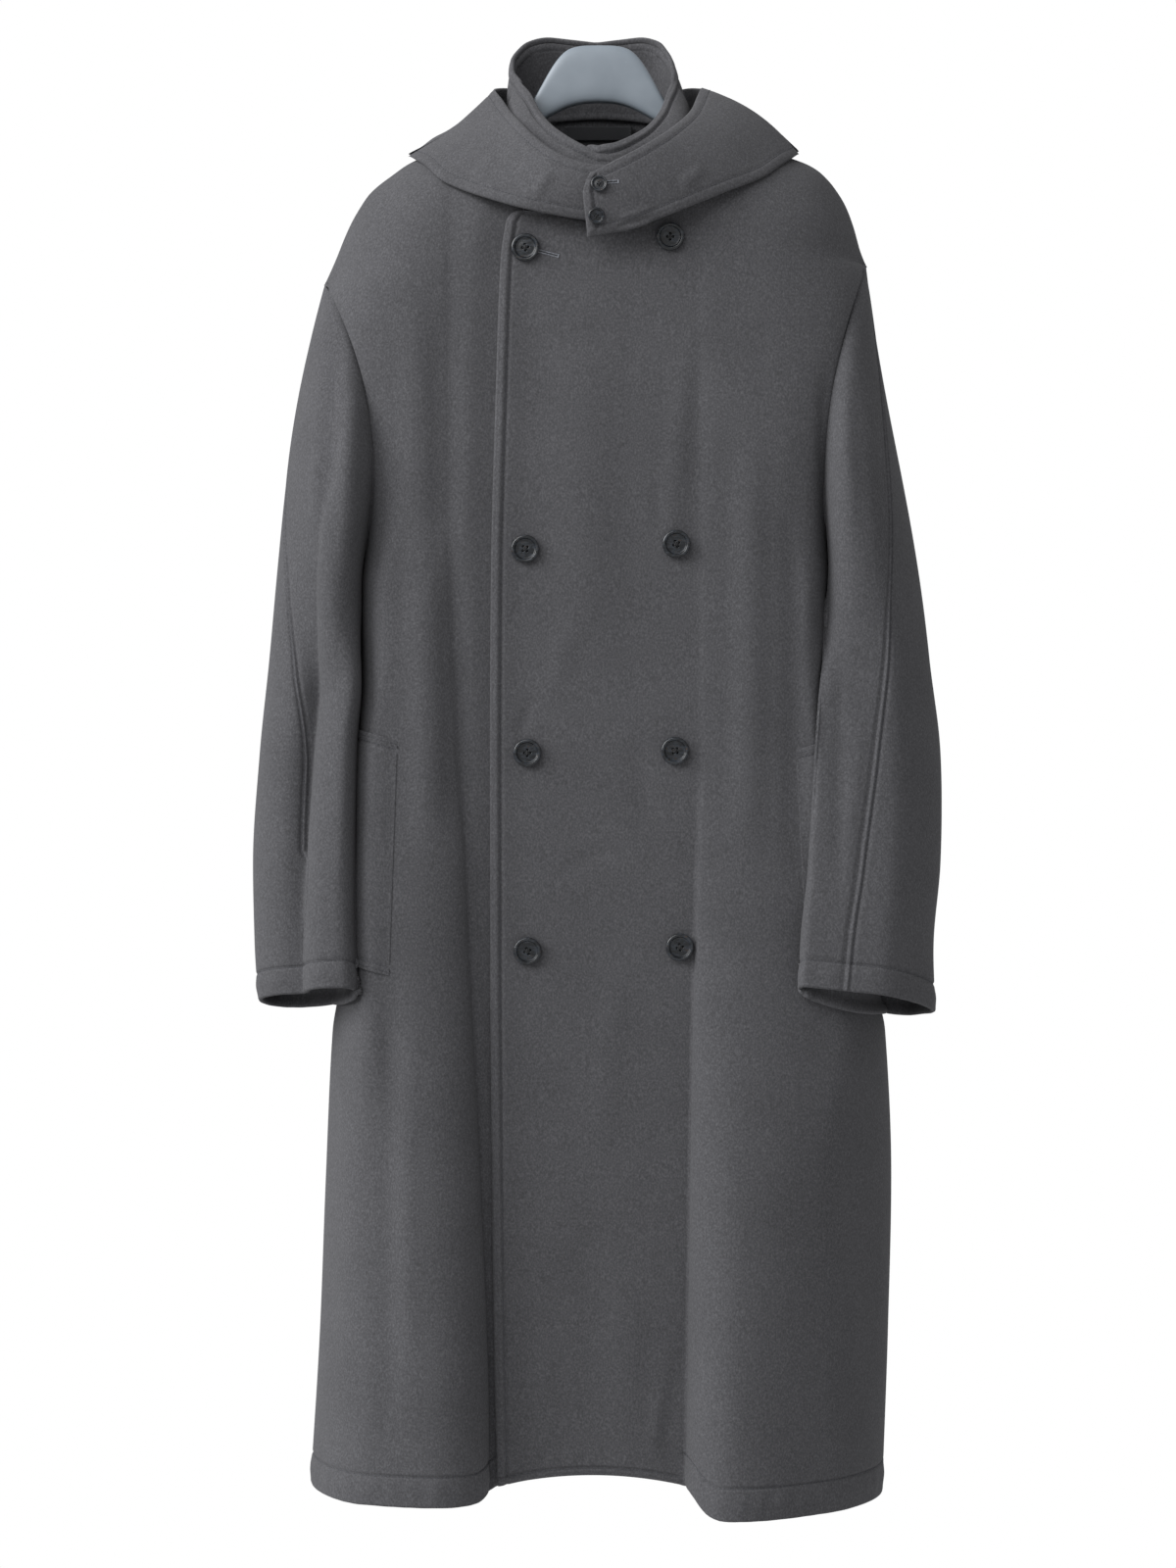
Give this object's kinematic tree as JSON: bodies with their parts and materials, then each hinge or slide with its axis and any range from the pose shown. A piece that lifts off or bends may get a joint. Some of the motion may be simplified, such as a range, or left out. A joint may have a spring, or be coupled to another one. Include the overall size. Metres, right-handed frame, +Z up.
{
  "type": "hooded double-breasted overcoat on a hanger",
  "caption": "Long wool overcoat, buttoned up, with a stand collar, a hood thrown back, a throat latch, welt pockets and open hem and cuffs, hung on a flat moulded hanger.",
  "frame": {"origin": "middle of the top edge of the hanger's crown", "axes": "+Z up, +X to the wearer's left, +Y to the back of the coat"},
  "size_m": [0.6284, 0.3111, 1.3423],
  "materials": {
    "wool": "matte milled wool with a short nap",
    "horn": "polished horn-like resin",
    "label": "dense woven ribbon",
    "plastic": "satin moulded"
  },
  "bodies": {
    "root": {"front_left": "wool", "front_right": "wool", "back": "wool", "sleeve_left_front": "wool", "sleeve_left_back": "wool", "sleeve_right_front": "wool", "sleeve_right_back": "wool", "collar": "wool", "hood_throat_left": "wool", "hood_throat_right": "wool", "hood_left": "wool", "hood_right": "wool", "pocket_welt_left": "wool", "pocket_welt_right": "wool", "neck_label": "label", "button_left_1": "horn", "button_left_2": "horn", "button_left_3": "horn", "button_left_4": "horn", "button_right_1": "horn", "button_right_2": "horn", "button_right_3": "horn", "button_right_4": "horn", "button_throat_upper": "horn", "button_throat_lower": "horn", "hanger": "plastic"}
  },
  "joints": []
}
